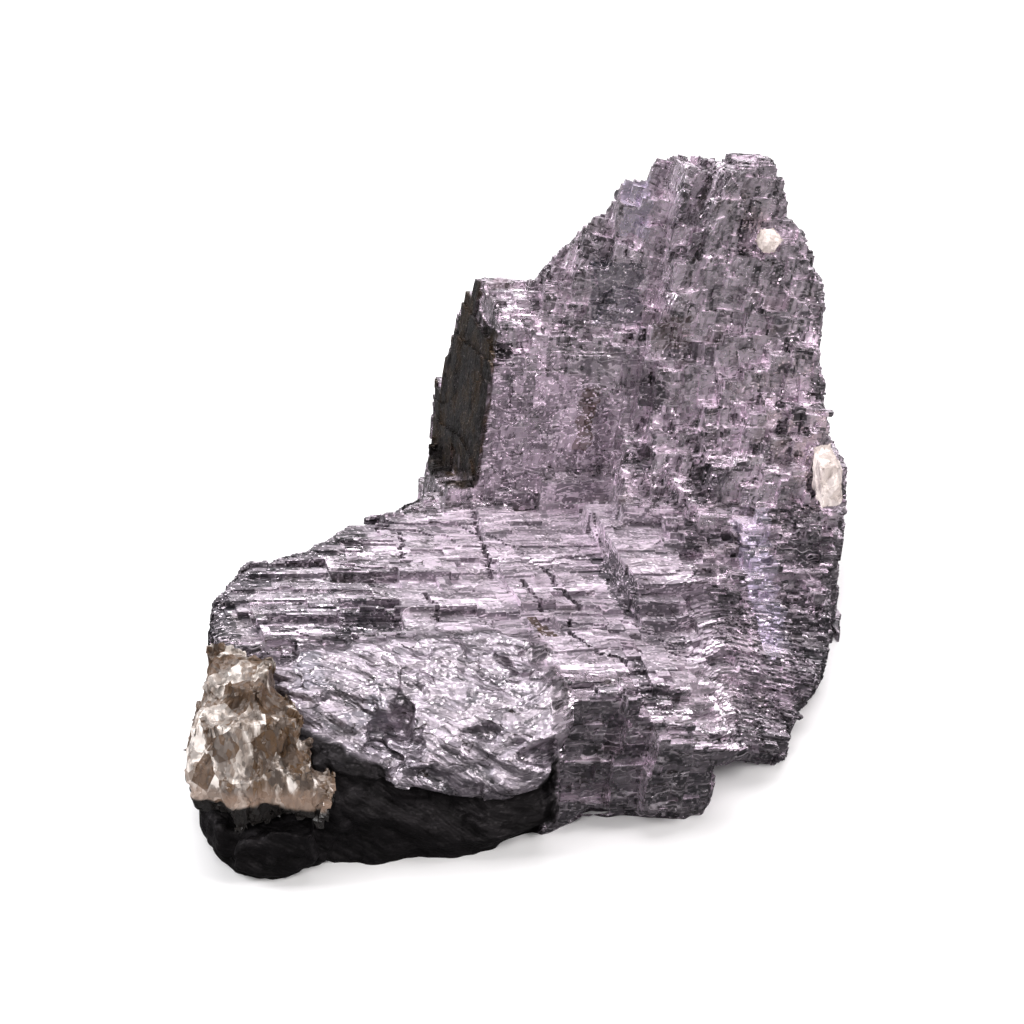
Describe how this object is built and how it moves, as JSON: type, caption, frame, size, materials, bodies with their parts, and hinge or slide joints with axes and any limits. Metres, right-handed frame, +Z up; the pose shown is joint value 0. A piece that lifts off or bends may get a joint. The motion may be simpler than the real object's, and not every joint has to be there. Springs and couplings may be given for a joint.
{
  "type": "galena specimen",
  "caption": "Metallic cleavage mass with an upright stepped slab on a broad foot, a crust of calcite at one end, resting on a flat base.",
  "frame": {"origin": "on the surface the specimen stands on, below the middle of its overall box", "axes": "+Z up, +X to the right and +Y away from a viewer who faces the slab's smooth panel from the foot's side"},
  "size_m": [0.1302, 0.1382, 0.0912],
  "materials": {
    "galena": "bright metallic cleavage, lavender grey, dull and darker in its hollows",
    "calcite": "translucent, pinkish white to brown, satin"
  },
  "bodies": {
    "root": {"galena_mass": "galena", "calcite_crust": "calcite", "calcite_on_right_edge": "calcite", "calcite_near_crest": "calcite"}
  },
  "joints": []
}
